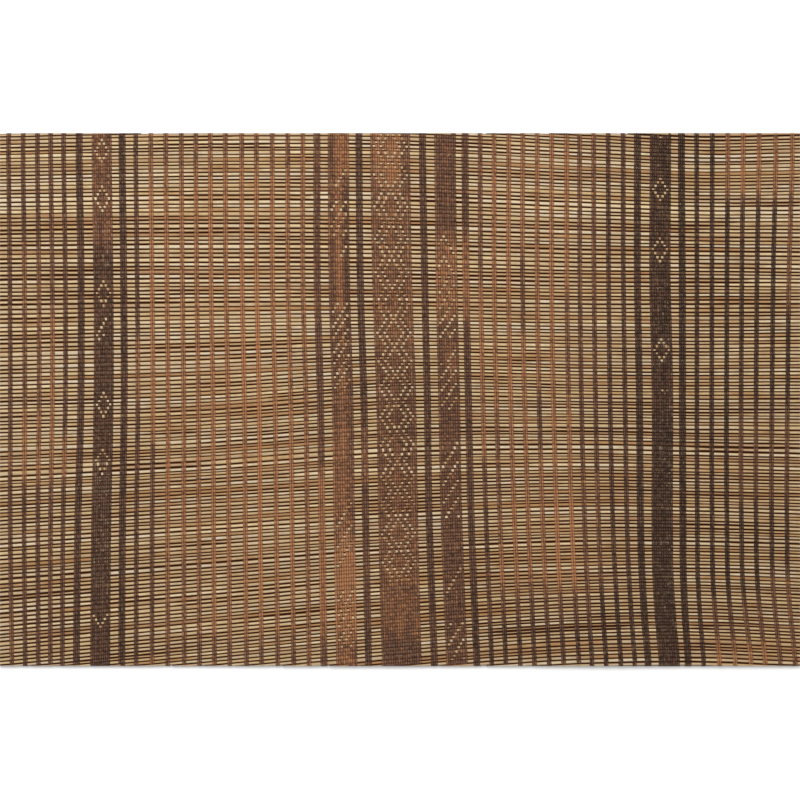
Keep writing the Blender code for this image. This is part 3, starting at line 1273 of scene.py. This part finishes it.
class MAT_OT_add_leather_lines(bpy.types.Operator):
    """Weaves every leather line: thin, medium and patterned, each as one piece"""

    bl_idname = "mat.add_leather_lines"
    bl_label = "Add leather lines"

    def execute(self, context):
        settings = context.scene.mat_leather
        field = ReedField(context.scene.mat_reeds)
        finishes = {
            slot: leather_finish(slot.replace("_", " "), settings)
            for slot in ("leather_dark", "leather_rust")
        }
        draw = np.random.default_rng(settings.seed)
        for name, columns, pitch, tone, slot, centres in LINES:
            for number, centre in enumerate(centres, start=1):
                own_name = f"{name}_{number:02d}" if len(centres) > 1 else name
                tubes, attributes = leather_line(
                    field, settings, name, columns, pitch, tone, centre, draw
                )
                piece = add_tubes(
                    f"woven_{own_name}", tubes, attributes, finishes[slot], LEATHER_SHARP
                )
                piece["mat_part"] = "leather"
                stand_for(piece, own_name)
        return {"FINISHED"}


class MAT_OT_add_reeds(bpy.types.Operator):
    bl_idname = "mat.add_reeds"
    bl_label = "Add reeds"

    def execute(self, context):
        settings = context.scene.mat_reeds
        field = ReedField(settings)
        tubes, attributes = reed_tubes(field, settings)
        finish = straw_finish(settings)
        reeds = add_tubes("laid_reeds", tubes, attributes, finish, REED_SHARP)
        stand_for(reeds, "reeds")
        return {"FINISHED"}


def add_floor(settings):
    """The pale floor, faintly mottled."""
    bpy.ops.mesh.primitive_grid_add(x_subdivisions=8, y_subdivisions=8, size=settings.floor_size)
    floor = bpy.context.object
    floor.name = "studio_floor"
    finish, tree, shader = new_material("studio floor")
    noise = tree.nodes.new("ShaderNodeTexNoise")
    noise.inputs["Scale"].default_value = 3.0
    pale = tuple(settings.floor_colour)
    shade = tuple(part * 0.985 for part in pale)
    mottled = mix_colour(tree, noise.outputs["Fac"], pale, shade)
    tree.links.new(mottled, shader.inputs["Base Color"])
    shader.inputs["Roughness"].default_value = 0.9
    shader.inputs["Specular IOR Level"].default_value = 0.1
    floor.data.materials.append(finish)


def add_key_light(settings):
    """The large soft light, turned to the middle of the mat."""
    data = bpy.data.lights.new("key", "AREA")
    data.shape = "SQUARE"
    data.size = settings.key_size
    data.energy = settings.key_power
    light = bpy.data.objects.new("key", data)
    bpy.context.scene.collection.objects.link(light)
    light.location = KEY_PLACE
    light.rotation_mode = "QUATERNION"
    light.rotation_quaternion = light.location.to_track_quat("Z", "Y")


class MAT_OT_set_studio(bpy.types.Operator):
    """Sets the pale floor, the soft light and the camera straight above the mat"""

    bl_idname = "mat.set_studio"
    bl_label = "Set the studio"

    def execute(self, context):
        settings = context.scene.mat_studio
        scene = context.scene
        add_floor(settings)
        add_key_light(settings)

        world = bpy.data.worlds.new("studio room")
        world.use_nodes = True
        background = world.node_tree.nodes["Background"]
        background.inputs["Color"].default_value = (1.0, 0.995, 0.985, 1.0)
        background.inputs["Strength"].default_value = settings.sky
        scene.world = world
        scene.view_settings.view_transform = "Standard"

        lens = bpy.data.cameras.new("camera")
        lens.lens = settings.lens
        lens.sensor_width = 36.0
        above = (LENGTH / 2 - settings.trim) / (lens.sensor_width / 2 / lens.lens)
        lens.clip_start = 0.05
        lens.clip_end = 20.0
        camera = bpy.data.objects.new("camera", lens)
        scene.collection.objects.link(camera)
        camera.location = (0, settings.centre_shift, MIDDLE + above)
        scene.camera = camera
        return {"FINISHED"}


class MAT_PT_builder(bpy.types.Panel):
    """The mat's settings and steps"""

    bl_label = "Reed Mat"
    bl_idname = "MAT_PT_builder"
    bl_space_type = "VIEW_3D"
    bl_region_type = "UI"
    bl_category = "Reed Mat"

    def draw(self, context):
        scene = context.scene
        for operator, settings in (
            ("mat.add_leather_lines", scene.mat_leather),
            ("mat.add_reeds", scene.mat_reeds),
            ("mat.set_studio", scene.mat_studio),
        ):
            box = self.layout.box()
            box.operator(operator)
            for name in settings.bl_rna.properties.keys():
                if name not in ("rna_type", "name"):
                    box.prop(settings, name)


CLASSES = (
    ReedSettings,
    LeatherSettings,
    StudioSettings,
    MAT_OT_add_leather_lines,
    MAT_OT_add_reeds,
    MAT_OT_set_studio,
    MAT_PT_builder,
)


def register():
    for one in CLASSES:
        bpy.utils.register_class(one)
    bpy.types.Scene.mat_reeds = PointerProperty(type=ReedSettings)
    bpy.types.Scene.mat_leather = PointerProperty(type=LeatherSettings)
    bpy.types.Scene.mat_studio = PointerProperty(type=StudioSettings)


def unregister():
    del bpy.types.Scene.mat_studio
    del bpy.types.Scene.mat_leather
    del bpy.types.Scene.mat_reeds
    for one in reversed(CLASSES):
        bpy.utils.unregister_class(one)


def main():
    register()
    bpy.ops.mat.add_leather_lines()
    bpy.ops.mat.add_reeds()
    bpy.ops.mat.set_studio()


if __name__ == "__main__":
    main()
